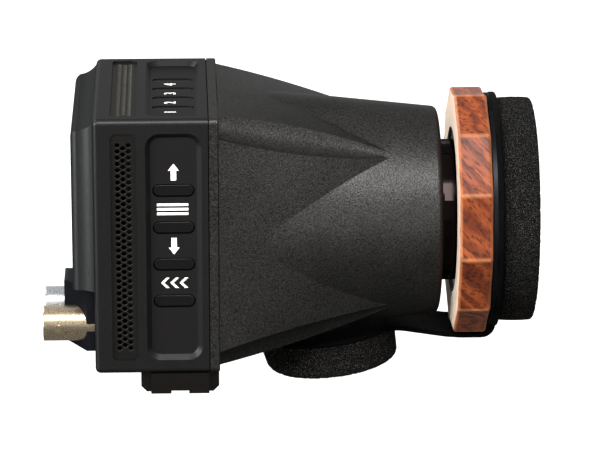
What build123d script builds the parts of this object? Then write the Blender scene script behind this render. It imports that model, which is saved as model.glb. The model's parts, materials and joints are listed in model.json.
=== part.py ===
from build123d import *
import math
import os

os.makedirs("parts", exist_ok=True)

# Electronic viewfinder. X runs along the optical axis towards the eye, Y away
# from the keypad side and Z up. The origin is at the middle of the clamping
# rail's bottom face. Millimetres.

# Clamping rail
rail_width = 21.2
rail_height = 5.7
rail_core_width = 15.8
rail_setback = 2.0
rail_chamfer = 1.6
rail_groove_width = 4.8
rail_groove_depth = 0.8
rail_groove_length = 22.0
rail_screw_radius = 1.5
rail_screw_floor = 1.6
rail_screw_xs = (-6.5, 2.6)
rail_screw_inset = 15.5

# Front section: a square tube with its axis along X
body_size = 71.0
body_wall = 3.0
body_front_x = -22.9
body_rear_x = 7.95
edge_round = 1.5
post_size = 7.2
gusset_size = 8.0
gusset_depth = 3.0

# Front bezel: how far each of its outline's points stands before the front
# section, and how far inside the rounded edge
bezel_depth = 5.9
bezel_skin = 2.6
cove_middle = (1.8, 1.45)
cove_end = (4.3, 2.2)
nose_middle = (5.45, 3.0)
nose_inset = 4.4

# Rear housing
gasket_thickness = 0.3
gasket_inset = 0.6
flange_thickness = 2.6
flange_chamfer = 0.35
taper_length = 49.0
shell_wall = 3.5
barrel_end_x = 71.7
barrel_start_radius = 35.1
barrel_shoulder = 9.1
barrel_wall = 2.6
end_wall = 3.2
rim_round = 1.6

# Keypads, alike on the side and on the top
keypad_margin = 3.9
keypad_x = -1.3
keypad_depth = 1.3
keypad_bevel = 1.3
keypad_edge = 0.5
keypad_corner = 3.8
panel_thickness = 0.6
button_pitch = 10.3
button_length = 10.9
button_width = 3.15
button_gap = 0.25
button_sink = 0.25
button_round = 0.3
button_travel = 0.5
button_lip = 0.8
side_keys_shift = 0.15
top_keys_shift = -1.6

# Perforated grilles, alike on the side and on the top
grille_gap = 2.5
grille_width = 6.9
grille_corner = 1.6
grille_ledge = 0.8
grille_sink = 0.5
grille_thickness = 0.8
grille_pitch = 1.72
grille_hole = 1.42
grille_border = 2.0

# Coaxial sockets
socket_diameter = 9.65
socket_reach = 14.1
socket_rise = 12.0
socket_inset = 8.7
socket_spacing = 17.9
socket_fit = 0.03
stud_diameter = 1.9
stud_height = 0.75
stud_setback = 4.1
socket_wall = 0.725
socket_depth = 8.2
thread_radius = 3.6
insulator_radius = 2.4
contact_radius = 0.7
contact_bore = 0.45
nut_radius = 5.3
nut_thickness = 1.6

# Connector block
block_reach = 8.6
block_under = 6.6
block_over = 10.6
block_end = 5.6
block_slant = 11.54
block_end_face = 2.3
block_plate = 1.5
block_plate_lap = 1.2
block_plate_gap = 0.1
notch_gap = 0.2
socket_show = 0.085

# Screen and electronics
board_setback = 10.5
board_thickness = 1.6
board_gap = 0.6
screen_width = 52.0
screen_height = 42.0
frame_thickness = 1.5
lamp_depth = 3.2
panel_margin = 1.6
panel_depth = 1.8

# Screws
long_screw_radius = 1.25
long_screw_inset = 2.3
board_screw_radius = 0.9
board_screw_inset = 5.2
bezel_screw_radius = 1.1
nose_screw_radius = 1.0

# Eyepiece
lens_diameter = 30.8
lens_rim = 1.7
lens_width = 5.0
lens_bulge = 2.2
lens_seat = 0.02
eyepiece_wall = 1.6
run_clearance = 0.03
nose_wall = 2.57
nose_flange = 5.4
nose_flange_thickness = 2.5
focus_travel = 2.5
pin_radius = 1.0
pin_slot_depth = 1.6

# Focusing ring of wood
ring_sides = 12
ring_corner_radius = 34.3
ring_gap = 4.1
ring_width = 9.0
ring_phase = 21.6
ring_edge_round = 0.9
ring_hollow = 0.35
ring_running_gap = 0.25
collar_wall = 3.37
collar_inset = 0.6

# Eyecup, its radii counted in from the ring's corners
plate_inset = 1.9
plate_thickness = 1.1
pad_inset = 1.7
pad_thickness = 1.75
foam_inset = 3.3
foam_thickness = 9.8
foam_hole_radius = 20.2
foam_gap = 0.15
crown_round = 1.2

# Strap and cap
strap_width = 20.0
strap_thickness = 1.2
strap_clearance = 0.35
fold_gap = 0.35
fold_reach = 0.15
tongue_gap = 1.3
cap_side_gap = 1.4
cap_under_gap = 0.75
cap_end_gap = 0.5
cap_face_gap = 0.4

# Values worked out from the sizes above
half = body_size / 2
axis_z = rail_height + half
inner_half = half - body_wall
keypad_length = body_size - 2 * keypad_margin
keypad_width = button_length + 2 * (button_gap + keypad_edge + keypad_bevel)
grille_length = keypad_length
grille_x = keypad_x - keypad_width / 2 - grille_gap - grille_width / 2
flange_front_x = body_rear_x + gasket_thickness
flange_rear_x = flange_front_x + flange_thickness
bezel_front_x = body_front_x - bezel_depth
socket_front_x = body_front_x - socket_reach
socket_z = rail_height + socket_rise
socket_near_y = -half + socket_inset
block_front_x = body_front_x - block_reach
plate_back_x = body_front_x + block_plate
block_low_z = socket_z - block_under
block_high_z = socket_z + block_over
block_near_y = socket_near_y - socket_diameter / 2 + socket_show
block_far_y = socket_near_y + socket_spacing + block_end
lens_radius = lens_diameter / 2
eyepiece_radius = lens_radius + eyepiece_wall
nose_bore_radius = eyepiece_radius + run_clearance
nose_radius = nose_bore_radius + nose_wall
ring_bore_radius = nose_radius + run_clearance + collar_wall
barrel_end_radius = nose_radius + barrel_shoulder
ring_front_x = barrel_end_x + ring_gap
ring_rear_x = ring_front_x + ring_width
plate_front_x = ring_rear_x + ring_running_gap
pad_front_x = plate_front_x + plate_thickness
pad_rear_x = pad_front_x + pad_thickness
foam_front_x = pad_rear_x + foam_gap
foam_rear_x = foam_front_x + foam_thickness
plate_radius = ring_corner_radius - plate_inset
pad_radius = ring_corner_radius - pad_inset
foam_radius = ring_corner_radius - foam_inset
cap_radius = foam_hole_radius - cap_side_gap
cap_foam_thickness = foam_thickness - cap_end_gap

# How far a piece reaches into the next where the two are fused into one, and
# how far a cutting tool stands past what it cuts
merge = 0.2
past = 1.0


def save(shape, name):
    export_step(shape, "parts/" + name + ".step")


def block(x0, x1, y0, y1, z0, z1):
    """A plain box between its lowest and highest corners."""
    middle = ((x0 + x1) / 2, (y0 + y1) / 2, (z0 + z1) / 2)
    return Pos(*middle) * Box(x1 - x0, y1 - y0, z1 - z0)


def square_bar(x0, x1, size):
    """A square bar on the optical axis."""
    return block(x0, x1, -size / 2, size / 2, axis_z - size / 2, axis_z + size / 2)


def bar_at(x0, x1, size, y, z):
    """A square bar along X, centred y and z away from the optical axis."""
    return Pos(0, y, z) * square_bar(x0, x1, size)


def rod(x0, x1, radius, y=0.0, z=axis_z):
    """A round bar along X, on the optical axis unless told otherwise."""
    return Pos((x0 + x1) / 2, y, z) * Rot(0, 90, 0) * Cylinder(radius, x1 - x0)


def tube(x0, x1, outer, inner):
    return rod(x0, x1, outer) - rod(x0 - past, x1 + past, inner)


def rod_at(x0, x1, radius, y, z):
    """A round bar along X, centred y and z away from the optical axis."""
    return rod(x0, x1, radius, y, axis_z + z)


def upright(x, y, z0, z1, radius):
    return Pos(x, y, (z0 + z1) / 2) * Cylinder(radius, z1 - z0)


def along_x(shape):
    return shape.edges().filter_by(Axis.X)


def on_rim(shape, x):
    """The edges of a shape that lie wholly in the plane at x."""
    return shape.edges().filter_by(lambda edge: abs(edge.bounding_box().min.X - x) < 1e-3
                                   and abs(edge.bounding_box().max.X - x) < 1e-3)


def stadium(length, width, low, high):
    """An upright slug with round ends, between two heights."""
    return Pos(0, 0, low) * extrude(SlotOverall(length, width), high - low)


def slab(width, length, corner, low, high):
    """A plate with round corners, between two heights."""
    return Pos(0, 0, low) * extrude(RectangleRounded(width, length, corner), high - low)


# The side and the top carry the same keypad and grille. Each is drawn once in
# a flat frame, with X along the optical axis, Y along the row of keys and Z
# outwards, zero at the outer face, and then turned onto its face.
side_frame = Plane(origin=(0, -half, axis_z), x_dir=(1, 0, 0), z_dir=(0, -1, 0)).location
top_frame = Plane(origin=(0, 0, rail_height + body_size), x_dir=(1, 0, 0), z_dir=(0, 0, 1)).location
frames = {"side": (side_frame, side_keys_shift), "top": (top_frame, top_keys_shift)}

button_rows = [button_pitch * step for step in (1.5, 0.5, -0.5, -1.5)]
floor_depth = keypad_depth + panel_thickness

# Depths behind the outer face, for what stands behind the keys
lip_clearance = 0.15
lip_depth = body_wall + lip_clearance
lip_thickness = 0.6
stem_radius = 1.1
stem_end = lip_depth + lip_thickness + 0.9
plunger_radius = 1.0
plunger_top = stem_end + button_travel + 0.1
switch_size = 4.5
switch_top = plunger_top + 0.4
board_top = switch_top + 1.5
key_board_thickness = 1.2
board_bottom = board_top + key_board_thickness
board_width = 12.0
pillar_radius = 2.2
pillar_gap = 0.875
pillar_margin = 0.4
last_key_edge = button_rows[0] + button_width / 2 + button_lip
pillar_place = last_key_edge + pillar_gap + pillar_radius
board_length = 2 * (pillar_place + pillar_radius + pillar_margin)


def pocket_outline(inset):
    """The keypad's outline, drawn in by inset."""
    return Pos(keypad_x, 0, 0) * RectangleRounded(keypad_width - 2 * inset, keypad_length - 2 * inset,
                                                  keypad_corner - inset)


def pocket_floor(low, high):
    return Pos(0, 0, low) * extrude(pocket_outline(keypad_bevel), high - low)


def keypad_pocket():
    """What is cut from the wall for the keypad: a bevelled pocket and its floor."""
    bevelled = loft([Pos(0, 0, -keypad_depth) * pocket_outline(keypad_bevel), pocket_outline(0)])
    return bevelled + pocket_floor(-floor_depth, -keypad_depth)


def key_slots(shift, low, high):
    slots = []
    for row in button_rows:
        slot = stadium(button_length + 2 * button_gap, button_width + 2 * button_gap, low, high)
        slots.append(Pos(keypad_x, row + shift, 0) * slot)
    return slots


def key_panel(shift):
    panel = pocket_floor(-floor_depth, -keypad_depth)
    for slot in key_slots(shift, -floor_depth - past, past):
        panel -= slot
    return panel


def button():
    """One key at its own centre: the pill, its retaining lip and its stem."""
    pill = stadium(button_length, button_width, -lip_depth, -keypad_depth - button_sink)
    pill = fillet(pill.faces().sort_by(Axis.Z)[-1].edges(), button_round)
    lip_end = -lip_depth - lip_thickness
    lip = stadium(button_length + 2 * button_lip, button_width + 2 * button_lip, lip_end, -lip_depth)
    return pill + lip + upright(0, 0, -stem_end, lip_end, stem_radius)


def switch():
    """One tactile switch, its plunger towards the key."""
    reach = switch_size / 2
    case = block(-reach, reach, -reach, reach, -board_top, -switch_top)
    return case + upright(0, 0, -switch_top, -plunger_top, plunger_radius)


def key_board(shift):
    reach = board_width / 2
    end = board_length / 2
    return Pos(keypad_x, shift, 0) * block(-reach, reach, -end, end, -board_bottom, -board_top)


def key_pillars(shift):
    """Two pillars on the inside of the wall that carry the key board."""
    return [upright(keypad_x, place + shift, -board_top, -body_wall + merge, pillar_radius)
            for place in (-pillar_place, pillar_place)]


def grille_recess():
    """The shallow seat of a grille and the window behind it, short of the seat by a ledge."""
    seat = slab(grille_width, grille_length, grille_corner, -grille_sink - grille_thickness, past)
    window = slab(grille_width - 2 * grille_ledge, grille_length - 2 * grille_ledge,
                  grille_corner - grille_ledge, -body_wall - past, 0)
    return Pos(grille_x, 0, 0) * (seat + window)


def grille_plate():
    """A plate with three staggered columns of round holes."""
    back = -grille_sink - grille_thickness
    plate = slab(grille_width, grille_length, grille_corner, back, -grille_sink)
    column_step = grille_pitch * math.sqrt(3) / 2
    full_column = int((grille_length - 2 * grille_border) / grille_pitch)
    centres = []
    for column, rows in ((-1, full_column), (0, full_column - 1), (1, full_column)):
        for row in range(rows):
            centres.append((column * column_step, (row - (rows - 1) / 2) * grille_pitch))
    holes = Sketch() + [Pos(x, y, 0) * Circle(grille_hole / 2) for x, y in centres]
    plate -= Pos(0, 0, back - past) * extrude(holes, grille_thickness + 2 * past)
    return Pos(grille_x, 0, 0) * plate


# Corner posts inside the front section: they carry the main board and take the
# long screws that hold the rear housing
post_front_x = body_front_x + board_setback
post_rear_x = body_rear_x - frame_thickness
long_head_depth = 1.6
long_head_radius = 2.2
board_hole_depth = 5.0
corners = [(sy, sz) for sy in (-1, 1) for sz in (-1, 1)]


def corner_places(inset):
    """The four places beside the axis that stand inset from both inner walls."""
    reach = inner_half - inset
    return [(sy * reach, sz * reach) for sy, sz in corners]


long_screw_places = corner_places(long_screw_inset)
board_screw_places = corner_places(board_screw_inset)

# Gussets at the front take the bezel's screws. The near lower one stands
# above the connector block, clear of the sockets
gusset_reach = inner_half - gusset_size / 2
gusset_rise = block_high_z - axis_z + gusset_size / 2 + 3.2
bezel_screw_places = [(-gusset_reach, gusset_reach), (gusset_reach, gusset_reach),
                      (gusset_reach, -gusset_reach), (-gusset_reach, gusset_rise)]

rail_screw_y = half - rail_screw_inset
rail_screw_places = [(x, y) for x in rail_screw_xs for y in (-rail_screw_y, rail_screw_y)]

# Main housing
front_fillet = edge_round - 0.02
housing = square_bar(body_front_x, body_rear_x, body_size)
housing = fillet(along_x(housing), edge_round)
housing = fillet(on_rim(housing, body_front_x), front_fillet)
housing -= square_bar(body_front_x - past, body_rear_x + past, 2 * inner_half)
inside = square_bar(body_front_x, body_rear_x, 2 * (inner_half + merge))
for y, z in corner_places(post_size / 2):
    housing += inside & bar_at(post_front_x, post_rear_x, post_size + 2 * merge, y, z)
for y, z in bezel_screw_places:
    housing += inside & bar_at(body_front_x, body_front_x + gusset_depth, gusset_size + 2 * merge, y, z)
for frame, shift in frames.values():
    for pillar in key_pillars(shift):
        housing += frame * pillar
for frame, shift in frames.values():
    housing -= frame * keypad_pocket()
    housing -= frame * grille_recess()
    for slot in key_slots(shift, -body_wall - past, past):
        housing -= frame * slot
for y, z in long_screw_places:
    housing -= rod_at(post_front_x - past, post_rear_x + past, long_screw_radius, y, z)
    housing -= rod_at(post_front_x - past, post_front_x + long_head_depth, long_head_radius, y, z)
for y, z in board_screw_places:
    housing -= rod_at(post_front_x - past, post_front_x + board_hole_depth, board_screw_radius, y, z)
for y, z in bezel_screw_places:
    housing -= rod_at(body_front_x - past, body_front_x + gusset_depth + past, bezel_screw_radius, y, z)
for x, y in rail_screw_places:
    housing -= upright(x, y, rail_height - past, rail_height + body_wall + past, rail_screw_radius)
save(housing, "main_housing")

# Clamping rail: a core flush with the sides, and flanks that stop short of them.
# A shallow groove runs in from each end
flank_half = half - rail_setback
rail = block(-rail_width / 2, rail_width / 2, -flank_half, flank_half, 0, rail_height)
rail = chamfer(rail.edges().filter_by(Axis.Y).group_by(Axis.Z)[0], rail_chamfer)
rail += block(-rail_core_width / 2, rail_core_width / 2, -half, half, 0, rail_height)
groove_end = half - rail_groove_length
for y0, y1 in ((-half - past, -groove_end), (groove_end, half + past)):
    rail -= block(-rail_groove_width / 2, rail_groove_width / 2, y0, y1, -past, rail_groove_depth)
for x, y in rail_screw_places:
    rail -= upright(x, y, rail_screw_floor, rail_height + past, rail_screw_radius)
save(rail, "mounting_rail")

# Rail screws, driven from inside the housing, with a hexagon socket's round
# lead-in in each head
rail_head_radius = 2.7
rail_head_height = 1.8
rail_drive_radius = 1.2
rail_drive_depth = 1.1
housing_floor = rail_height + body_wall
rail_screws = []
for x, y in rail_screw_places:
    head_top = housing_floor + rail_head_height
    screw = upright(x, y, rail_screw_floor + merge, housing_floor, rail_screw_radius)
    screw += upright(x, y, housing_floor, head_top, rail_head_radius)
    screw -= upright(x, y, head_top - rail_drive_depth, head_top + past, rail_drive_radius)
    rail_screws.append(screw)
save(Compound(children=rail_screws), "rail_screws")

# Keypads: a panel, four keys, four switches and their board on each face
button_names = {
    "side": ("button_up", "button_select", "button_down", "button_return"),
    "top": ("button_4", "button_3", "button_2", "button_1"),
}
for face, (frame, shift) in frames.items():
    save(frame * key_panel(shift), face + "_key_panel")
    switches = []
    for name, row in zip(button_names[face], button_rows):
        place = frame * Pos(keypad_x, row + shift, 0)
        save(place * button(), name)
        switches.append(place * switch())
    save(Compound(children=switches), face + "_switches")
    save(frame * key_board(shift), face + "_key_board")
    save(frame * grille_plate(), face + "_grille")

# Connector block: it fills a notch at the bezel's near lower corner. Its near
# end is cut on the slant, so that the near socket just shows through the end
# face, and its far top corner is round. A plate at its back closes the front
# section's opening behind it
block_corner_round = 3.0
block_edge_round = 1.2
block_far_round = 8.0
slant_y = block_near_y + block_slant
slant_end_x = body_front_x - block_end_face


def far_corner(shape, radius):
    """Rounds the edge along X at the far top corner of a shape."""
    far_edges = shape.edges().filter_by(Axis.X).group_by(Axis.Y)[-1]
    return fillet(far_edges.sort_by(Axis.Z)[-1], radius)


plan = make_face(Polyline((body_front_x, block_near_y), (slant_end_x, block_near_y), (block_front_x, slant_y),
                          (block_front_x, block_far_y), (body_front_x, block_far_y),
                          (body_front_x, block_near_y)))
plan = fillet(plan.vertices().group_by(Axis.X)[0], block_corner_round)
connector = Pos(0, 0, block_low_z) * extrude(plan, block_high_z - block_low_z)
bounds = block(block_front_x, body_front_x, block_near_y, block_far_y, block_low_z, block_high_z)
connector &= far_corner(bounds, block_far_round)
connector &= fillet(bounds.edges().filter_by(Axis.Y).group_by(Axis.X)[0], block_edge_round)
floor_z = axis_z - inner_half
connector += block(body_front_x, plate_back_x, block_plate_gap - inner_half, block_far_y + block_plate_lap,
                   floor_z + block_plate_gap, block_high_z + block_plate_lap)
socket_ys = (socket_near_y, socket_near_y + socket_spacing)
for y in socket_ys:
    connector -= rod(block_front_x - past, body_front_x, socket_diameter / 2 + socket_fit, y, socket_z)
    connector -= rod(body_front_x - past, plate_back_x + past, thread_radius + socket_fit, y, socket_z)
save(connector, "connector_block")

# Coaxial sockets: shell with its two studs, insulator, centre contact and nut
shell_rim_round = 0.25
thread_reach = 3.7
insulator_recess = 2.4
insulator_reach = 1.2
contact_recess = 3.0
contact_reach = 5.0
contact_depth = 5.0
for name, y in zip(("near_socket", "far_socket"), socket_ys):
    shell = rod(socket_front_x, body_front_x, socket_diameter / 2, y, socket_z)
    shell += rod(body_front_x, body_front_x + thread_reach, thread_radius, y, socket_z)
    shell = fillet(on_rim(shell, socket_front_x), shell_rim_round)
    shell -= rod(socket_front_x - past, socket_front_x + socket_depth, socket_diameter / 2 - socket_wall,
                 y, socket_z)
    shell -= rod(socket_front_x, body_front_x + thread_reach + past, insulator_radius, y, socket_z)
    for side in (-1, 1):
        stud_middle = socket_diameter / 2 + stud_height / 2 - merge / 2
        stud = Rot(90, 0, 0) * Cylinder(stud_diameter / 2, stud_height + merge)
        shell += Pos(socket_front_x + stud_setback, y + side * stud_middle, socket_z) * stud
    save(shell, name + "_shell")
    insulator = rod(socket_front_x + insulator_recess, body_front_x + insulator_reach, insulator_radius,
                    y, socket_z)
    insulator -= rod(socket_front_x, body_front_x + thread_reach, contact_radius, y, socket_z)
    save(insulator, name + "_insulator")
    contact_front_x = socket_front_x + contact_recess
    contact = rod(contact_front_x, body_front_x + contact_reach, contact_radius, y, socket_z)
    contact -= rod(contact_front_x - past, contact_front_x + contact_depth, contact_bore, y, socket_z)
    save(contact, name + "_contact")
    nut = extrude(RegularPolygon(nut_radius, 6), nut_thickness)
    nut = Pos(plate_back_x, y, socket_z) * Rot(0, 90, 0) * nut
    nut -= rod(plate_back_x - past, plate_back_x + nut_thickness + past, thread_radius, y, socket_z)
    save(nut, name + "_nut")

# Front bezel: the same coved profile across and upright, so its corners mitre
bezel_rim = half - edge_round


def bezel_point(depth, inset, side):
    """A point of the bezel's outline, on its upper side or its lower one."""
    return (body_front_x - depth, side * (bezel_rim - inset))


def bezel_profile():
    edges = []
    for side in (-1, 1):
        rim = bezel_point(0, 0, side)
        shoulder = bezel_point(*cove_end, side)
        front = bezel_point(bezel_depth, nose_inset, side)
        edges.append(ThreePointArc(rim, bezel_point(*cove_middle, side), shoulder))
        edges.append(ThreePointArc(shoulder, bezel_point(*nose_middle, side), front))
    edges.append(Line(bezel_point(bezel_depth, nose_inset, 1), bezel_point(bezel_depth, nose_inset, -1)))
    edges.append(Line(bezel_point(0, 0, -1), bezel_point(0, 0, 1)))
    return make_face(Curve() + edges)


across = extrude(bezel_profile(), half + past, both=True)
bezel_solid = (Pos(0, 0, axis_z) * across) & (Pos(0, 0, axis_z) * Rot(90, 0, 0) * across)
bezel_screw_depth = 3.0
bezel = bezel_solid - square_bar(bezel_front_x + bezel_skin, body_front_x + past,
                                 2 * (bezel_rim - nose_inset - merge))
for y, z in bezel_screw_places:
    bezel += bezel_solid & bar_at(bezel_front_x + bezel_skin - merge, body_front_x, gusset_size, y, z)
notch = block(bezel_front_x - past, body_front_x + past, -half - past, block_far_y + notch_gap,
              rail_height - past, block_high_z + notch_gap)
bezel -= far_corner(notch, block_far_round + notch_gap)
for y, z in bezel_screw_places:
    bezel -= rod_at(body_front_x - bezel_screw_depth, body_front_x + past, bezel_screw_radius, y, z)
save(bezel, "front_bezel")


def screw_along_x(start_x, head_x, radius, head_radius, head_height, y, z):
    """A screw beside the axis: its tip at start_x, and its head past head_x."""
    head_end_x = head_x + head_height
    screw = rod_at(min(start_x, head_x), max(start_x, head_x), radius, y, z)
    return screw + rod_at(min(head_x, head_end_x), max(head_x, head_end_x), head_radius, y, z)


gusset_rear_x = body_front_x + gusset_depth
bezel_screws = [screw_along_x(body_front_x - bezel_screw_depth + merge, gusset_rear_x, bezel_screw_radius,
                              2.0, 1.4, y, z) for y, z in bezel_screw_places]
save(Compound(children=bezel_screws), "bezel_screws")

# Rear housing: a square flange, a crowned pyramid with coved corners, and the
# round barrel that comes out of it. At a share t of the taper's length, half a
# flat of the section reaches to edge_across, its edge stands edge_out from the
# axis, and the flat swells by crown at its middle. A cove joins two flats.
taper_start_x = flange_rear_x
edge_out_start = half - 0.5
edge_out_end = 20.9
edge_out_bend = 0.433
edge_across_start = half - 5.8
edge_across_end = 20.6
edge_across_bend = -0.67
crown_start = 0.35
crown_rise = 4.2
crown_fall = 3.0
cove_share = 0.17
taper_steps = 6


def between(start, end, bend, t):
    """A value that runs from start to end, ahead of or behind a straight line by bend."""
    return start + (end - start) * ((1 - bend) * t + bend * t * t)


def taper_section(t):
    edge_out = between(edge_out_start, edge_out_end, edge_out_bend, t)
    edge_across = between(edge_across_start, edge_across_end, edge_across_bend, t)
    crown = crown_start + crown_rise * t - crown_fall * t * t
    return edge_out, edge_across, crown


def taper_wire(x, t, inset):
    """The closed section of the taper at x, drawn in by inset."""
    edge_out, edge_across, crown = taper_section(t)
    sag = cove_share * (edge_out - edge_across) * math.sqrt(2)
    out = edge_out - inset
    across = edge_across - inset
    cove = (out + across) / 2 - sag / math.sqrt(2)
    edges = []
    for turn in range(4):
        angle = math.radians(90 * turn)

        def point(a, b):
            y = a * math.cos(angle) - b * math.sin(angle)
            z = a * math.sin(angle) + b * math.cos(angle)
            return (x, y, axis_z + z)

        edges.append(Edge.make_three_point_arc(point(across, out), point(0, out + crown), point(-across, out)))
        edges.append(Edge.make_three_point_arc(point(-across, out), point(-cove, cove), point(-out, across)))
    return Wire(edges)


def taper_body(inset, length):
    """The taper from the flange over a length, as one loft through its sections."""
    sections = []
    for step in range(taper_steps + 1):
        t = step / taper_steps * length / taper_length
        sections.append(taper_wire(taper_start_x + t * taper_length, t, inset))
    return Solid.make_loft(sections)


def barrel_radius(x):
    share = (x - taper_start_x) / (barrel_end_x - taper_start_x)
    return barrel_start_radius + share * (barrel_end_radius - barrel_start_radius)


def cone(x0, x1, inset):
    """The barrel's cone between two places on the axis, drawn in by inset."""
    return Pos(x0, 0, axis_z) * Rot(0, 90, 0) * Cone(
        barrel_radius(x0) - inset, barrel_radius(x1) - inset, x1 - x0,
        align=(Align.CENTER, Align.CENTER, Align.MIN))


nose_flange_radius = nose_radius + nose_flange
nose_flange_x = barrel_end_x - end_wall - nose_flange_thickness
end_wall_x = barrel_end_x - end_wall
inner_taper_length = taper_length - 6.0
nose_screw_circle = (nose_radius + nose_flange_radius) / 2
nose_screw_places = []
for step in range(4):
    angle = math.radians(45 + 90 * step)
    nose_screw_places.append((nose_screw_circle * math.cos(angle), nose_screw_circle * math.sin(angle)))
nose_screw_reach = 2.0

barrel = fillet(on_rim(cone(taper_start_x, barrel_end_x, 0), barrel_end_x), rim_round)
flange = square_bar(flange_front_x, flange_rear_x, body_size)
flange = fillet(along_x(flange), edge_round)
flange = chamfer(on_rim(flange, flange_rear_x), flange_chamfer)
rear = flange + taper_body(0, taper_length) + barrel
rear -= taper_body(shell_wall, inner_taper_length)
rear -= cone(taper_start_x, end_wall_x, barrel_wall)
mouth_face = Face(taper_wire(flange_front_x - past, 0, shell_wall))
rear -= extrude(mouth_face, amount=flange_thickness + past, dir=(1, 0, 0))
rear -= rod(end_wall_x - past, barrel_end_x + past, nose_radius)
for y, z in nose_screw_places:
    rear -= rod_at(end_wall_x - past, end_wall_x + nose_screw_reach + merge, nose_screw_radius, y, z)
for y, z in long_screw_places:
    rear -= rod_at(flange_front_x - past, flange_rear_x - 0.5, long_screw_radius, y, z)
save(rear, "rear_housing")

# Gasket that leaves the dark line between the front section and the flange
seal = square_bar(body_rear_x, flange_front_x, body_size - 2 * gasket_inset)
seal -= square_bar(body_rear_x - past, flange_front_x + past, 2 * inner_half)
save(seal, "flange_gasket")


# Screen: a frame held between the posts and the flange, the panel on its eye
# side and the lamp unit behind it
def screen_block(x0, x1, margin):
    """A block over the screen's window and a margin round it."""
    across = screen_width / 2 + margin
    upwards = screen_height / 2 + margin
    return block(x0, x1, -across, across, axis_z - upwards, axis_z + upwards)


frame_clearance = 0.2
lamp_margin = 0.4
screen_frame = square_bar(post_rear_x, body_rear_x, 2 * (inner_half - frame_clearance))
screen_frame -= screen_block(post_rear_x - past, body_rear_x + past, 0)
for y, z in long_screw_places:
    screen_frame -= rod_at(post_rear_x - past, body_rear_x + past, long_screw_radius, y, z)
save(screen_frame, "screen_frame")
save(screen_block(body_rear_x, body_rear_x + panel_depth, panel_margin), "screen_panel")
save(screen_block(post_rear_x - lamp_depth, post_rear_x, lamp_margin), "backlight")

# Electronics: the main board on the front of the posts, its heat spreader
# behind it and two chips before it
spreader_size = 44.0
spreader_thickness = 1.5
processor_size = 14.0
processor_height = 1.4
memory_size = 9.0
memory_height = 1.2
board_front_x = post_front_x - board_thickness
board = square_bar(board_front_x, post_front_x, 2 * (inner_half - board_gap))
for y, z in board_screw_places:
    board -= rod_at(board_front_x - past, post_front_x + past, board_screw_radius, y, z)
save(board, "main_board")
save(square_bar(post_front_x, post_front_x + spreader_thickness, spreader_size), "heat_spreader")
processor = bar_at(board_front_x - processor_height, board_front_x, processor_size, -4, 8)
memory = bar_at(board_front_x - memory_height, board_front_x, memory_size, 14, -12)
save(Compound(children=[processor, memory]), "main_chips")
board_screws = [screw_along_x(post_front_x + board_hole_depth - merge, board_front_x, board_screw_radius,
                              1.7, -1.2, y, z) for y, z in board_screw_places]
save(Compound(children=board_screws), "board_screws")
long_screws = [screw_along_x(flange_rear_x - 0.7, post_front_x + long_head_depth, long_screw_radius,
                             long_head_radius - 0.1, -long_head_depth, y, z) for y, z in long_screw_places]
save(Compound(children=long_screws), "housing_screws")

# Nose tube: fixed to the rear housing's end wall, notched round its root and
# slotted inside for the eyepiece's guide pin
nose_inner_x = barrel_end_x - 14.2
nose_end_x = plate_front_x - focus_travel - 0.55
pin_x = barrel_end_x - 7.7
notch_count = 12
notch_width = 5.0
notch_length = 2.4
notch_depth = 0.35
notch_x = barrel_end_x + 2.2
pin_fit = 0.05
pin_end_gap = 0.3
nose = tube(nose_inner_x, nose_end_x, nose_radius, nose_bore_radius)
nose += tube(nose_flange_x, end_wall_x, nose_flange_radius, nose_bore_radius)
for step in range(notch_count):
    turn = Pos(0, 0, axis_z) * Rot(360 / notch_count * step, 0, 0)
    nose -= turn * Pos(notch_x, 0, nose_radius) * Box(notch_length, notch_width, 2 * notch_depth)
slot_reach = focus_travel + pin_radius + pin_end_gap
nose -= block(pin_x - slot_reach, pin_x + slot_reach, -pin_radius - pin_fit, pin_radius + pin_fit,
              axis_z + nose_bore_radius - past, axis_z + nose_bore_radius + pin_slot_depth)
for y, z in nose_screw_places:
    nose -= rod_at(nose_flange_x - past, end_wall_x + past, nose_screw_radius, y, z)
save(nose, "nose_tube")
nose_screws = [screw_along_x(end_wall_x + nose_screw_reach, nose_flange_x, nose_screw_radius, 1.8, -1.2, y, z)
               for y, z in nose_screw_places]
save(Compound(children=nose_screws), "nose_screws")

# Eyepiece: a barrel that slides in the nose tube without turning, two lenses
# with a spacer between them, and the ring that holds them
front_lens_x = barrel_end_x - 15.7
rear_lens_x = plate_front_x - 11.05
eyepiece_start_x = front_lens_x - 4.0
keeper_x = rear_lens_x + lens_width
keeper_thickness = 2.0
clear_radius = lens_radius - lens_rim
seat_radius = clear_radius + 0.1
pin_seat_depth = 1.5
pin_tip_gap = 0.2
eye_barrel = tube(eyepiece_start_x, plate_front_x, eyepiece_radius, lens_radius + lens_seat)
eye_barrel += tube(eyepiece_start_x, front_lens_x, eyepiece_radius, seat_radius)
eye_barrel -= upright(pin_x, 0, axis_z + eyepiece_radius - pin_seat_depth, axis_z + eyepiece_radius + past,
                      pin_radius)
save(eye_barrel, "eyepiece_barrel")
save(upright(pin_x, 0, axis_z + eyepiece_radius - pin_seat_depth,
             axis_z + nose_bore_radius + pin_slot_depth - pin_tip_gap, pin_radius), "guide_pin")


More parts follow.
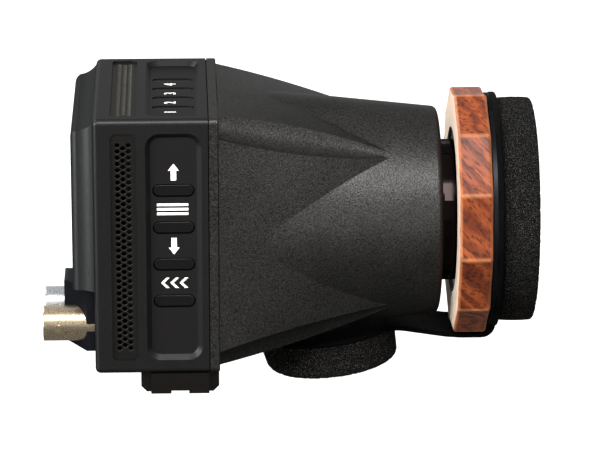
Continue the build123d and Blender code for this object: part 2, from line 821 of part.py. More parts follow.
def lens(x0, front_bulge, rear_bulge):
    """A lens: a disc with a flat rim and a dome on each face."""
    x1 = x0 + lens_width
    front_sphere = (clear_radius ** 2 + front_bulge ** 2) / (2 * front_bulge)
    rear_sphere = (clear_radius ** 2 + rear_bulge ** 2) / (2 * rear_bulge)
    front_centre = Pos(x0 - front_bulge + front_sphere, 0, axis_z) * Rot(0, 90, 0)
    rear_centre = Pos(x1 + rear_bulge - rear_sphere, 0, axis_z) * Rot(0, 90, 0)
    body = rod(x0, x1, lens_radius)
    body += (front_centre * Sphere(front_sphere)) & rod(x0 - front_bulge - past, x0 + merge, lens_radius)
    body += (rear_centre * Sphere(rear_sphere)) & rod(x1 - merge, x1 + rear_bulge + past, lens_radius)
    return body


save(lens(front_lens_x, lens_bulge, lens_bulge), "front_lens")
save(lens(rear_lens_x, lens_bulge, lens_bulge * 0.6), "eye_lens")
save(tube(front_lens_x + lens_width, rear_lens_x, lens_radius, seat_radius), "lens_spacer")
save(tube(keeper_x, keeper_x + keeper_thickness, lens_radius, seat_radius), "lens_keeper")

# Focusing ring: slightly hollow flats of wood round a metal collar that turns
# on the nose tube
corner_step = 360 / ring_sides


def ring_point(radius, angle):
    """A point beside the axis, the angle counted from the keypad side up."""
    turn = math.radians(angle)
    return (ring_front_x, -radius * math.cos(turn), axis_z + radius * math.sin(turn))


def ring_outline():
    flat_radius = ring_corner_radius * math.cos(math.radians(corner_step / 2)) - ring_hollow
    edges = []
    for side in range(ring_sides):
        start = ring_phase + side * corner_step
        edges.append(Edge.make_three_point_arc(
            ring_point(ring_corner_radius, start), ring_point(flat_radius, start + corner_step / 2),
            ring_point(ring_corner_radius, start + corner_step)))
    return Face(Wire(edges))


wood = extrude(ring_outline(), amount=ring_width, dir=(1, 0, 0))
wood = fillet(wood.edges(), ring_edge_round)
wood -= rod(ring_front_x - past, ring_rear_x + past, ring_bore_radius)
save(wood, "wooden_ring")
save(tube(ring_front_x + collar_inset, ring_rear_x - collar_inset, ring_bore_radius,
          nose_radius + run_clearance), "ring_collar")

# Eyecup: a plate on the end of the barrel, a leather pad with a tab below, and
# the foam ring that meets the face
plate_lap = 0.4
pad_opening = 0.6
strap_inner = ring_corner_radius + strap_clearance
strap_outer = strap_inner + strap_thickness
strap_axis_z = axis_z - strap_inner - strap_thickness / 2


def below_wedge(x0, x1):
    """The space below the axis within the strap's width."""
    return block(x0, x1, -strap_width / 2, strap_width / 2, axis_z - 2 * strap_outer, axis_z)


save(tube(plate_front_x, pad_front_x, plate_radius, lens_radius - plate_lap), "eyecup_plate")
pad = rod(pad_front_x, pad_rear_x, pad_radius)
pad += rod(pad_front_x, pad_rear_x, strap_inner - fold_gap) & below_wedge(pad_front_x, pad_rear_x)
pad -= rod(pad_front_x - past, pad_rear_x + past, lens_radius + pad_opening)
save(pad, "leather_pad")
foam = rod(foam_front_x, foam_rear_x, foam_radius)
foam = fillet(on_rim(foam, foam_rear_x), crown_round)
foam -= rod(foam_front_x - past, foam_rear_x + past, foam_hole_radius)
save(foam, "eye_foam")


# Strap and cap. The cap hangs open under the rear housing, along its slope.
# Shut, the strap's bridge spans the foam ring and its tongue climbs the face
# of it. The cap stands where the folded strap, of fixed length, leaves it.
def underside(x):
    """How far the rear housing reaches below the axis at x."""
    t = (x - taper_start_x) / taper_length
    edge_out, edge_across, crown = taper_section(t)
    return max(barrel_radius(x), edge_out + crown)


shut_x = foam_rear_x + cap_face_gap + strap_thickness / 2
second_fold_x = ring_front_x + fold_reach
first_fold_x = (shut_x + second_fold_x) / 2
tongue_length = axis_z - cap_radius - strap_axis_z
rear_reach = underside(second_fold_x - tongue_length)
front_reach = underside(second_fold_x - tongue_length - 2 * cap_radius)
cap_tilt = math.degrees(math.asin((front_reach - rear_reach) / (2 * cap_radius)))
cap_edge_z = axis_z - rear_reach - cap_under_gap - strap_thickness / 2
tongue_fall = cap_edge_z - strap_axis_z
tongue_angle = math.degrees(math.asin(tongue_fall / tongue_length))
cap_edge_x = second_fold_x - tongue_length * math.cos(math.radians(tongue_angle))

bridge_end = second_fold_x + fold_gap
bridge = tube(bridge_end, first_fold_x - fold_reach, strap_outer, strap_inner)
save(bridge & below_wedge(bridge_end, first_fold_x), "strap_bridge")

strap_half = strap_width / 2
tongue = block(-tongue_length + fold_gap, -tongue_gap, -strap_half, strap_half, -strap_thickness / 2,
               strap_thickness / 2)
save(Pos(second_fold_x, 0, strap_axis_z) * Rot(0, tongue_angle, 0) * tongue, "strap_tongue")

cap_round = 0.3
cap_place = Pos(cap_edge_x, 0, cap_edge_z) * Rot(0, -cap_tilt, 0) * Pos(-cap_radius, 0, 0)
cap_skin = Cylinder(cap_radius, strap_thickness)
cap_skin = fillet(cap_skin.edges().group_by(Axis.Z)[-1], cap_round)
save(cap_place * cap_skin, "cap_leather")
plug = Cylinder(cap_radius, cap_foam_thickness)
plug = fillet(plug.edges().group_by(Axis.Z)[0], crown_round)
save(cap_place * Pos(0, 0, -(strap_thickness + cap_foam_thickness) / 2) * plug, "cap_foam")

print("first fold", round(first_fold_x, 3), round(strap_axis_z, 3))
print("second fold", round(second_fold_x, 3), "third fold", round(cap_edge_x, 3), round(cap_edge_z, 3))
print("tongue angle", round(tongue_angle, 3), "cap tilt", round(cap_tilt, 3), "shut plane", round(shut_x, 3))
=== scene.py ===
import json
import math

import bmesh
import bpy
from mathutils import Matrix, Vector, noise


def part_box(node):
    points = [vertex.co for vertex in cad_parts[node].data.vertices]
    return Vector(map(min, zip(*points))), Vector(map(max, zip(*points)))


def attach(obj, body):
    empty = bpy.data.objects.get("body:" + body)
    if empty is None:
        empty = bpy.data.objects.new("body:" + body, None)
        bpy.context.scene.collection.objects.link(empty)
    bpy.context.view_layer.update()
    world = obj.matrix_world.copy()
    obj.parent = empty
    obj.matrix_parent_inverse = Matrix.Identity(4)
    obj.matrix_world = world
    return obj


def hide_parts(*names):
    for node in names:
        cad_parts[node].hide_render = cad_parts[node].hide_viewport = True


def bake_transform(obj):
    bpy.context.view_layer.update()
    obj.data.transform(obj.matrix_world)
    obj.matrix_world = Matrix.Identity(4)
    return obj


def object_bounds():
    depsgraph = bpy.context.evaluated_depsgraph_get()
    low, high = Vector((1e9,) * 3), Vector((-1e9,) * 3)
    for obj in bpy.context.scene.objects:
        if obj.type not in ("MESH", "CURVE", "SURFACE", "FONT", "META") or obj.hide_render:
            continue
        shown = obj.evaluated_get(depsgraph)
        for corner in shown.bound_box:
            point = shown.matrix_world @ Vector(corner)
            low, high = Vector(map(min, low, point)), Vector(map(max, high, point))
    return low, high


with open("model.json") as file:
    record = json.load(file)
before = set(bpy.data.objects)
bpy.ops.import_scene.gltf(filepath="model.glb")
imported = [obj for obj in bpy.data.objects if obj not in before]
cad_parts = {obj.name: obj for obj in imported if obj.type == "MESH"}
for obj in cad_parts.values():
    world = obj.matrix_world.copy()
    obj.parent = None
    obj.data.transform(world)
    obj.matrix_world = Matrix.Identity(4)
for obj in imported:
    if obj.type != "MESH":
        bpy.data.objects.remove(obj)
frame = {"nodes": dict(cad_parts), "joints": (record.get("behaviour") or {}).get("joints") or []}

# Electronic viewfinder, in metres. X runs along the optical axis towards the
# eye, Y away from the keypad side and Z up from the mounting rail's foot.
mm = 0.001
cad_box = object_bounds()
body_low, body_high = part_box("main_housing")
axis_z = (body_low[2] + body_high[2]) / 2

# Camera: a long lens beside the keypads and a little above them, the place
# worked out from the lines of the photograph.
camera_place = Vector((-0.13, -968.47, 317.60)) * mm
camera_yaw = math.radians(2.01)
camera_pitch = math.radians(16.26)
sensor_width = 36.0
frame_width = 601
focal_pixels = 3625.8
nearest_seen = 0.05
farthest_seen = 20.0

camera = bpy.data.objects.new("camera", bpy.data.cameras.new("camera"))
bpy.context.scene.collection.objects.link(camera)
camera.data.sensor_width = sensor_width
camera.data.lens = focal_pixels / frame_width * sensor_width
camera.data.clip_start = nearest_seen
camera.data.clip_end = farthest_seen
camera.location = camera_place
camera.rotation_euler = (math.radians(90) - camera_pitch, 0, -camera_yaw)
bpy.context.scene.camera = camera
bpy.context.scene.view_settings.view_transform = "Standard"


# Studio: a white sweep under the object and a white surround, with soft lamps
# above, at both sides and a weak one behind. The sweep gives back less light to
# the object than it shows, which keeps the black faces dark.
def linear(hex_colour):
    """An sRGB hex colour as linear red, green, blue and alpha."""
    shares = [int(hex_colour[place:place + 2], 16) / 255 for place in (1, 3, 5)]
    return tuple(c / 12.92 if c <= 0.04045 else ((c + 0.055) / 1.055) ** 2.4 for c in shares) + (1.0,)


def add(tree, kind, inputs=None, **settings):
    """Adds a node to a tree, with its settings, and fills or links its inputs."""
    node = tree.nodes.new(kind)
    for setting, value in settings.items():
        setattr(node, setting, value)
    for socket, value in (inputs or {}).items():
        if isinstance(value, bpy.types.NodeSocket):
            tree.links.new(value, node.inputs[socket])
        else:
            node.inputs[socket].default_value = value
    return node


def blank_material(name):
    """A new material with its node tree, its main shader and the object's own coordinates."""
    material = bpy.data.materials.new(name)
    material.use_nodes = True
    tree = material.node_tree
    place = add(tree, "ShaderNodeTexCoord").outputs["Object"]
    return material, tree, tree.nodes["Principled BSDF"], place


def mixed_colour(tree, factor, first, second):
    """A mix of two colours, each given as a hex colour or as the output of a node."""
    first, second = (linear(colour) if isinstance(colour, str) else colour for colour in (first, second))
    mix = add(tree, "ShaderNodeMix", {"Factor": factor, "A": first, "B": second}, data_type="RGBA")
    return mix.outputs["Result"]


def add_piece(name, mesh):
    """Links a finished mesh as a smooth shaded object that sits at the origin."""
    data = bpy.data.meshes.new(name)
    mesh.to_mesh(data)
    mesh.free()
    data.shade_smooth()
    piece = bpy.data.objects.new(name, data)
    bpy.context.scene.collection.objects.link(piece)
    return piece


floor_drop = 26 * mm
floor_size = 6.0
floor_white = "#9d9d9b"
floor_bounce = "#686866"
floor_glow = 0.88
world_light = 0.16
backdrop_light = 1.0

world = bpy.data.worlds.new("studio")
bpy.context.scene.world = world
world.use_nodes = True
sky = world.node_tree
sky.nodes.clear()
rays = add(sky, "ShaderNodeLightPath")
seen = add(sky, "ShaderNodeMath", {0: rays.outputs["Is Camera Ray"], 1: rays.outputs["Is Glossy Ray"]},
           operation="MAXIMUM")
seen = add(sky, "ShaderNodeMath", {0: seen.outputs[0], 1: rays.outputs["Is Transmission Ray"]},
           operation="MAXIMUM")
dim = add(sky, "ShaderNodeBackground", {"Color": linear("#ffffff"), "Strength": world_light})
bright = add(sky, "ShaderNodeBackground", {"Color": linear("#ffffff"), "Strength": backdrop_light})
mixed = add(sky, "ShaderNodeMixShader", {0: seen.outputs[0], 1: dim.outputs[0], 2: bright.outputs[0]})
add(sky, "ShaderNodeOutputWorld", {"Surface": mixed.outputs[0]})

floor_mesh = bmesh.new()
bmesh.ops.create_grid(floor_mesh, x_segments=2, y_segments=2, size=floor_size / 2,
                      matrix=Matrix.Translation((0, 0, cad_box[0][2] - floor_drop)))
floor = add_piece("floor", floor_mesh)
paper = bpy.data.materials.new("white paper sweep")
paper.use_nodes = True
tree = paper.node_tree
tree.nodes.clear()
rays = add(tree, "ShaderNodeLightPath")
matt = add(tree, "ShaderNodeBsdfDiffuse", {"Color": linear(floor_bounce)})
pale = add(tree, "ShaderNodeBsdfDiffuse", {"Color": linear(floor_white)})
glow = add(tree, "ShaderNodeEmission", {"Color": linear("#ffffff"), "Strength": floor_glow})
lit = add(tree, "ShaderNodeAddShader", {0: pale.outputs[0], 1: glow.outputs[0]})
shown = add(tree, "ShaderNodeMixShader", {0: rays.outputs["Is Camera Ray"], 1: matt.outputs[0],
                                          2: lit.outputs[0]})
add(tree, "ShaderNodeOutputMaterial", {"Surface": shown.outputs[0]})
floor.data.materials.append(paper)


def soft_lamp(name, place, aim, width, height, watts):
    """A rectangular soft lamp that faces a point."""
    lamp = bpy.data.lights.new(name, "AREA")
    lamp.shape = "RECTANGLE"
    lamp.size = width
    lamp.size_y = height
    lamp.energy = watts
    holder = bpy.data.objects.new(name, lamp)
    bpy.context.scene.collection.objects.link(holder)
    holder.location = place
    holder.rotation_euler = (Vector(aim) - Vector(place)).to_track_quat("-Z", "Y").to_euler()


lamp_aim = (0.03, 0, axis_z)
soft_lamp("lamp above", (0.12, -0.66, 0.82), lamp_aim, 0.45, 0.32, 16.0)
soft_lamp("lamp left", (-0.85, -0.45, 0.12), lamp_aim, 0.4, 0.9, 30.0)
soft_lamp("lamp right", (0.40, -0.90, 0.13), lamp_aim, 0.3, 0.26, 2.0)
soft_lamp("lamp high left", (-0.50, -0.60, 0.62), lamp_aim, 0.3, 0.3, 6.0)
soft_lamp("lamp behind", (-0.55, 0.55, 0.85), lamp_aim, 0.4, 0.4, 9.0)


# Main housing: the box behind the bezel, a cast aluminium frame under a black
# powder coat. The coat is satin, with a faint orange peel.
patch_size = 9 * mm
patch_share = (0.42, 0.58)
tone_share = (0.08, 0.46)
gloss_swing = 0.06


def coated(name, dark, light, roughness, peel, depth, metallic=0.85, gloss=0.1, rim=0.42):
    """A hard finish of two tones, mixed grain by grain and in faint wide patches, under a fine relief.

    peel is the grain's width and depth its height. rim is the share of light kept at a grazing angle.
    """
    material, tree, shader, place = blank_material(name)
    shader.inputs["Metallic"].default_value = metallic
    shader.inputs["Specular IOR Level"].default_value = gloss
    shader.inputs["Specular Tint"].default_value = (rim, rim, rim, 1.0)
    patches = add(tree, "ShaderNodeTexNoise", {"Vector": place, "Scale": 1 / patch_size, "Detail": 3.0})
    relief = add(tree, "ShaderNodeTexNoise", {"Vector": place, "Scale": 1 / peel, "Detail": 2.0})
    faint = add(tree, "ShaderNodeMapRange", {"Value": patches.outputs["Fac"], "To Min": patch_share[0],
                                             "To Max": patch_share[1]})
    share = add(tree, "ShaderNodeMath", {0: faint.outputs[0], 1: relief.outputs["Fac"]},
                operation="MULTIPLY")
    tone = add(tree, "ShaderNodeMapRange", {"Value": share.outputs[0], "From Min": tone_share[0],
                                            "From Max": tone_share[1]})
    tree.links.new(mixed_colour(tree, tone.outputs[0], dark, light), shader.inputs["Base Color"])
    rough = add(tree, "ShaderNodeMapRange", {"Value": relief.outputs["Fac"],
                                             "To Min": roughness - gloss_swing,
                                             "To Max": roughness + gloss_swing})
    tree.links.new(rough.outputs[0], shader.inputs["Roughness"])
    bump = add(tree, "ShaderNodeBump", {"Height": relief.outputs["Fac"], "Strength": 1.0, "Distance": depth})
    tree.links.new(bump.outputs[0], shader.inputs["Normal"])
    return material


def finish(material, *nodes):
    """Gives CAD pieces their material, on the object and not in the mesh."""
    for name in nodes:
        piece = frame["nodes"][name]
        if not piece.material_slots:
            piece.data.materials.append(None)
        for place in piece.material_slots:
            place.link = "OBJECT"
            place.material = material


powder_coat = coated("black powder coat", "#212121", "#292929", 0.4, 0.35 * mm, 0.02 * mm)
finish(powder_coat, "main_housing")

# Front bezel: a moulded cover with coved sides whose corners mitre. It is
# painted black, smoother than the box, so its coves carry long reflections.
bezel_paint = coated("black satin paint", "#2c2d2d", "#353636", 0.36, 0.6 * mm, 0.008 * mm, rim=0.02)
finish(bezel_paint, "front_bezel")

# Mounting rail: milled aluminium, hard anodised black, a little browner than the
# box. Its screws are driven from inside.
anodised = coated("black hard anodising", "#1f1d1c", "#282523", 0.3, 0.5 * mm, 0.006 * mm)
finish(anodised, "mounting_rail")

# Flange gasket: a thin black rubber seal, set back so that it leaves a dark
# line between the box and the rear housing.
seal_rubber = coated("black seal rubber", "#070707", "#0c0c0c", 0.8, 0.4 * mm, 0.01 * mm, 0.0)
finish(seal_rubber, "flange_gasket")

# Grilles: punched steel plates with staggered round holes, painted black on
# their faces only. The bare hole walls show as a dull grey mesh.
bare_steel = "#6b6963"
wall_slope = 0.5


def punched_plate(name, along):
    """Black painted sheet whose hole walls, which face across the plate, are bare metal."""
    material = coated(name, "#1e1d1c", "#282725", 0.4, 0.3 * mm, 0.008 * mm)
    tree = material.node_tree
    shader = tree.nodes["Principled BSDF"]
    facing = add(tree, "ShaderNodeTexCoord").outputs["Normal"]
    parts = add(tree, "ShaderNodeSeparateXYZ", {"Vector": facing})
    flat = add(tree, "ShaderNodeMath", {0: parts.outputs[along]}, operation="ABSOLUTE")
    wall = add(tree, "ShaderNodeMath", {0: flat.outputs[0], 1: wall_slope}, operation="LESS_THAN")
    paint = shader.inputs["Base Color"].links[0].from_socket
    tree.links.new(mixed_colour(tree, wall.outputs[0], paint, bare_steel), shader.inputs["Base Color"])
    return material


finish(punched_plate("side grille steel", "Y"), "side_grille")
finish(punched_plate("top grille steel", "Z"), "top_grille")

# Key panels: flat moulded plates at the bottom of the keypad pockets, fine
# grained, with a slot for each key. The boards and switches stand behind.
panel_plastic = coated("black moulded panel", "#201f1f", "#272626", 0.45, 0.25 * mm, 0.01 * mm)
finish(panel_plastic, "side_key_panel", "top_key_panel")

# Keys: eight pill-shaped keys with a hard finish, each on its own slide. They
# are a little smoother than the panel, so their rims catch the light.
side_keys = ["button_up", "button_select", "button_down", "button_return"]
top_keys = ["button_1", "button_2", "button_3", "button_4"]
key_finish = coated("black key finish", "#1c1c1c", "#262526", 0.3, 0.3 * mm, 0.006 * mm)
finish(key_finish, *side_keys, *top_keys)

# Printed marks: white ink on the panels, screen printed a little proud. The
# side has two arrows, a sign of three bars and a sign of three chevrons, and
# the top has the plain numbers 1 to 4. Outlines are in millimetres.
ink_height = 0.04 * mm
mottle_size = 0.5 * mm
merge_distance = 0.001 * mm
ink, tree, shader, place = blank_material("white screen printing ink")
shader.inputs["Roughness"].default_value = 0.5
mottle = add(tree, "ShaderNodeTexNoise", {"Vector": place, "Scale": 1 / mottle_size, "Detail": 2.0})
tree.links.new(mixed_colour(tree, mottle.outputs["Fac"], "#d9d6d0", "#fbf9f4"), shader.inputs["Base Color"])


def ink_shape(mesh, corners):
    """One flat printed shape, its corners in the mark's own plane, raised by the ink's height."""
    points = [mesh.verts.new((x * mm, y * mm, 0)) for x, y in corners]
    face = mesh.faces.new(points)
    raised = bmesh.ops.extrude_face_region(mesh, geom=[face])
    lifted = [item for item in raised["geom"] if isinstance(item, bmesh.types.BMVert)]
    bmesh.ops.translate(mesh, verts=lifted, vec=(0, 0, ink_height))


def place_mark(name, mesh, place):
    """Moves a finished mark to its place, in white ink, fixed to the housing."""
    bmesh.ops.recalc_face_normals(mesh, faces=mesh.faces)
    bmesh.ops.transform(mesh, matrix=place, verts=mesh.verts)
    mark = add_piece(name, mesh)
    for polygon in mark.data.polygons:
        polygon.use_smooth = False
    mark.data.materials.append(ink)
    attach(mark, "housing")


def key_middle(name):
    """The middle of a key's box."""
    low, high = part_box(name)
    return (Vector(low) + Vector(high)) / 2


def on_side(x, z):
    """The side panel's face at x and z, seen from outside with X to the right."""
    face_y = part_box("side_key_panel")[0][1]
    return Matrix(((1, 0, 0, x), (0, 0, -1, face_y), (0, 1, 0, z), (0, 0, 0, 1)))


def arrow_corners(height, width, shaft, head):
    """An arrow that points along its plane's Y, its foot at the middle of the bottom."""
    top = height / 2
    return [(-shaft / 2, -top), (shaft / 2, -top), (shaft / 2, top - head), (width / 2, top - head),
            (0, top), (-width / 2, top - head), (-shaft / 2, top - head)]


mark_rise = 5.15 * mm
arrow_height = 4.6
arrow_width = 2.9
arrow_shaft = 1.45
arrow_head = 1.9
for name, turn in (("button_up", 0), ("button_down", math.pi)):
    middle = key_middle(name)
    mark = bmesh.new()
    ink_shape(mark, arrow_corners(arrow_height, arrow_width, arrow_shaft, arrow_head))
    place_mark(name + "_mark", mark, on_side(middle.x, middle.z + mark_rise) @ Matrix.Rotation(turn, 4, "Z"))

bar_length = 8.4
bar_height = 0.7
bar_step = 1.25
bar_shift = -0.3 * mm
middle = key_middle("button_select")
mark = bmesh.new()
for row in (-1, 0, 1):
    low = row * bar_step - bar_height / 2
    ink_shape(mark, [(-bar_length / 2, low), (bar_length / 2, low), (bar_length / 2, low + bar_height),
                     (-bar_length / 2, low + bar_height)])
place_mark("button_select_mark", mark, on_side(middle.x + bar_shift, middle.z + mark_rise))

chevron_reach = 1.45
chevron_stroke = 0.85
chevron_step = 2.5
chevron_left = -3.4
chevron_shift = -0.2 * mm
middle = key_middle("button_return")
mark = bmesh.new()
for row in range(3):
    tip = chevron_left + chevron_step * row
    ink_shape(mark, [(tip, 0), (tip + chevron_reach, chevron_reach),
                     (tip + chevron_reach + chevron_stroke, chevron_reach), (tip + chevron_stroke, 0),
                     (tip + chevron_reach + chevron_stroke, -chevron_reach),
                     (tip + chevron_reach, -chevron_reach)])
place_mark("button_return_mark", mark, on_side(middle.x + chevron_shift, middle.z + mark_rise))

digit_height = 3.1 * mm
digit_share = 0.7
digit_weight = 0.02
digit_shift = -0.6 * mm
top_face_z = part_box("top_key_panel")[1][2]
for number, name in enumerate(top_keys, start=1):
    middle = key_middle(name)
    text = bpy.data.curves.new("digit", "FONT")
    text.body = str(number)
    text.size = digit_height / digit_share
    text.align_x = "CENTER"
    text.align_y = "CENTER"
    text.extrude = ink_height / 2
    text.offset = digit_weight * digit_height
    holder = bpy.data.objects.new("digit", text)
    bpy.context.scene.collection.objects.link(holder)
    bpy.context.view_layer.update()
    digit = bpy.data.meshes.new_from_object(holder.evaluated_get(bpy.context.evaluated_depsgraph_get()))
    bpy.data.objects.remove(holder)
    mark = bmesh.new()
    mark.from_mesh(digit)
    bmesh.ops.remove_doubles(mark, verts=mark.verts, dist=merge_distance)
    spot = Matrix.Translation((middle.x + digit_shift, middle.y - mark_rise, top_face_z + ink_height / 2))
    place_mark(name + "_mark", mark, spot @ Matrix.Rotation(math.radians(90), 4, "Z"))

# Connector block: a moulded black block that carries the sockets out of the
# bezel's corner. It is a little bluer and glossier than the box.
block_plastic = coated("black moulded block", "#17181b", "#24252a", 0.34, 0.5 * mm, 0.012 * mm)
finish(block_plastic, "connector_block")


# Coaxial sockets: turned brass shells with two bayonet studs, plated. The near
# one is a warm, worn nickel with a fine turned grain and the far one brighter.
turned_squeeze = (6.0, 1.0, 1.0)
worn_share = (0.35, 0.65)
worn_roughness = 0.18
turned_depth = 0.01 * mm


def plated(name, worn, clean, roughness, speckle):
    """Plated metal: a worn tone over a clean one, in specks drawn out round the axis by the turning."""
    material, tree, shader, place = blank_material(name)
    shader.inputs["Metallic"].default_value = 1.0
    lines = add(tree, "ShaderNodeMapping", {"Vector": place, "Scale": turned_squeeze})
    turned = add(tree, "ShaderNodeTexNoise", {"Vector": lines.outputs[0], "Scale": 1 / speckle,
                                              "Detail": 4.0})
    tone = add(tree, "ShaderNodeMapRange", {"Value": turned.outputs["Fac"], "From Min": worn_share[0],
                                            "From Max": worn_share[1]})
    tree.links.new(mixed_colour(tree, tone.outputs[0], worn, clean), shader.inputs["Base Color"])
    rough = add(tree, "ShaderNodeMapRange", {"Value": turned.outputs["Fac"], "To Min": roughness,
                                             "To Max": roughness + worn_roughness})
    tree.links.new(rough.outputs[0], shader.inputs["Roughness"])
    bump = add(tree, "ShaderNodeBump", {"Height": turned.outputs["Fac"], "Strength": 0.5,
                                        "Distance": turned_depth})
    tree.links.new(bump.outputs[0], shader.inputs["Normal"])
    return material


warm_nickel = plated("worn nickel plate", "#5b4e40", "#c6b69b", 0.2, 0.4 * mm)
bright_nickel = plated("bright nickel plate", "#8b8e90", "#b4b7b9", 0.2, 0.8 * mm)
finish(warm_nickel, "near_socket_shell")
finish(bright_nickel, "far_socket_shell")
gold = plated("gold plated contact", "#b98a3c", "#e3bd6c", 0.2, 0.4 * mm)
finish(gold, "near_socket_contact", "far_socket_contact")
insulator = coated("white socket insulator", "#cfccc4", "#e6e3dc", 0.5, 0.3 * mm, 0.004 * mm, 0.0, 0.4)
finish(insulator, "near_socket_insulator", "far_socket_insulator")

# Rear housing: a die-cast hood under charcoal paint, whose fine hard grain
# shows as speckle. It tapers from the square flange to the barrel.
hood_paint = coated("charcoal grained paint", "#090909", "#454443", 0.42, 0.42 * mm, 0.09 * mm)
finish(hood_paint, "rear_housing")

# Inside the box: the key boards, the main board with its chips, the heat
# spreader, the screen in its frame with its lamp, and the screws and socket
# nuts, which are blackened steel so that nothing glints behind the grilles.
green_mask = coated("dark green solder mask", "#04120a", "#071b0f", 0.45, 0.8 * mm, 0.01 * mm, 0.0, 0.2)
finish(green_mask, "main_board")
black_mask = coated("black solder mask", "#070808", "#0b0c0c", 0.5, 0.8 * mm, 0.01 * mm, 0.0)
finish(black_mask, "side_key_board", "top_key_board")
chip_resin = coated("black chip resin", "#141414", "#1e1e1e", 0.5, 0.2 * mm, 0.006 * mm, 0.0)
finish(chip_resin, "main_chips", "side_switches", "top_switches", "screen_frame")
zinc = plated("zinc plated steel", "#8f9092", "#b9babc", 0.3, 0.5 * mm)
finish(zinc, "guide_pin", "heat_spreader")
black_oxide = coated("black oxide steel", "#0d0d0e", "#161617", 0.35, 0.3 * mm, 0.004 * mm)
finish(black_oxide, "rail_screws", "bezel_screws", "board_screws", "housing_screws", "nose_screws",
       "near_socket_nut", "far_socket_nut")
lamp_film = coated("white diffuser film", "#dddddd", "#f2f2f2", 0.6, 0.5 * mm, 0.002 * mm, 0.0)
finish(lamp_film, "backlight")
screen_film = coated("dark screen film", "#08090c", "#0d0f14", 0.12, 2.0 * mm, 0.001 * mm, 0.0, 0.5)
finish(screen_film, "screen_panel")

# Nose tube: turned aluminium, gloss black anodised, with a row of shallow
# notches round its root. The collar of the focusing ring turns on it.
gloss_anodised = coated("gloss black anodising", "#100c0b", "#161211", 0.14, 1.5 * mm, 0.002 * mm)
finish(gloss_anodised, "nose_tube", "ring_collar")

# Eyepiece: a matt black barrel with two lenses, their spacer and keeper. The
# lenses are crown glass with a faint blue coating.
matt_anodised = coated("matt black anodising", "#0b0b0b", "#131313", 0.6, 0.3 * mm, 0.006 * mm)
finish(matt_anodised, "eyepiece_barrel", "lens_spacer", "lens_keeper")
wipe_size = 6 * mm
glass, tree, shader, place = blank_material("coated crown glass")
shader.inputs["IOR"].default_value = 1.52
shader.inputs["Transmission Weight"].default_value = 1.0
shader.inputs["Coat Weight"].default_value = 0.6
shader.inputs["Coat Roughness"].default_value = 0.02
shader.inputs["Coat Tint"].default_value = linear("#8fa8ff")
wipe = add(tree, "ShaderNodeTexNoise", {"Vector": place, "Scale": 1 / wipe_size, "Detail": 4.0})
rough = add(tree, "ShaderNodeMapRange", {"Value": wipe.outputs["Fac"], "To Min": 0.0, "To Max": 0.05})
tree.links.new(rough.outputs[0], shader.inputs["Roughness"])
tree.links.new(mixed_colour(tree, wipe.outputs["Fac"], "#eef4f4", "#f8fbff"), shader.inputs["Base Color"])
finish(glass, "front_lens", "eye_lens")

# Focusing ring: twelve flats cut on one piece of red-brown hardwood, oiled.
# Growth bands run aslant through the piece, so each flat cuts them another way.
# The colour is lighter near the flats' edges and the ring's ends, in patches that
# follow the figure, and the front face has a pale dusty sheen that shows only at
# a grazing angle.
ring_low, ring_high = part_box("wooden_ring")
ring_middle = (Vector(ring_low) + Vector(ring_high)) / 2
ring_sides = 12
ring_phase = math.radians(21.6)
band_width = 2.2 * mm
figure_size = 5 * mm
pore_step = 0.75 * mm
pore_depth = 0.04 * mm
grain_slant = (math.radians(24), math.radians(38), math.radians(15))
grain_squeeze = (1.0, 1.0, 0.22)
pale_edge_reach = 0.9 * mm
pale_edge_start = 0.18 * mm
pale_edge_most = 0.75
wood, tree, shader, place = blank_material("oiled red hardwood")
shader.inputs["Specular IOR Level"].default_value = 0.12
shader.inputs["Coat Weight"].default_value = 0.04
shader.inputs["Coat Roughness"].default_value = 0.25
centred = add(tree, "ShaderNodeMapping", {"Vector": place, "Location": tuple(-ring_middle)})
aslant = add(tree, "ShaderNodeMapping", {"Vector": centred.outputs[0], "Rotation": grain_slant})
stretched = add(tree, "ShaderNodeMapping", {"Vector": aslant.outputs[0], "Scale": grain_squeeze})
figure = add(tree, "ShaderNodeTexNoise", {"Vector": stretched.outputs[0], "Scale": 1 / figure_size,
                                          "Detail": 4.0, "Distortion": 1.2})
bands = add(tree, "ShaderNodeTexWave", {"Vector": stretched.outputs[0],
                                        "Scale": 1 / (2 * math.pi * band_width), "Distortion": 9.0,
                                        "Detail": 3.0, "Detail Scale": 1.4})
pores = add(tree, "ShaderNodeTexNoise", {"Vector": stretched.outputs[0], "Scale": 1 / pore_step,
                                         "Detail": 3.0})
ground = mixed_colour(tree, figure.outputs["Fac"], "#5a230f", "#8c4825")
streaks = add(tree, "ShaderNodeMapRange", {"Value": bands.outputs["Fac"], "From Min": 0.25, "From Max": 0.95,
                                           "To Max": 0.75})
banded = mixed_colour(tree, streaks.outputs[0], ground, "#451b0f")
dark_pores = add(tree, "ShaderNodeMapRange", {"Value": pores.outputs["Fac"], "From Min": 0.48,
                                              "From Max": 0.68, "To Max": 0.85})
grained = mixed_colour(tree, dark_pores.outputs[0], banded, "#240e09")
parts = add(tree, "ShaderNodeSeparateXYZ", {"Vector": centred.outputs[0]})
near_side = add(tree, "ShaderNodeMath", {0: parts.outputs["Y"], 1: -1.0}, operation="MULTIPLY")
angle = add(tree, "ShaderNodeMath", {0: parts.outputs["Z"], 1: near_side.outputs[0]}, operation="ARCTAN2")
turned = add(tree, "ShaderNodeMath", {0: angle.outputs[0], 1: -ring_phase}, operation="ADD")
corner = add(tree, "ShaderNodeMath", {0: turned.outputs[0], 1: math.pi / ring_sides}, operation="PINGPONG")
across = add(tree, "ShaderNodeVectorMath", {0: centred.outputs[0], 1: (0.0, 1.0, 1.0)}, operation="MULTIPLY")
radius = add(tree, "ShaderNodeVectorMath", {0: across.outputs[0]}, operation="LENGTH")
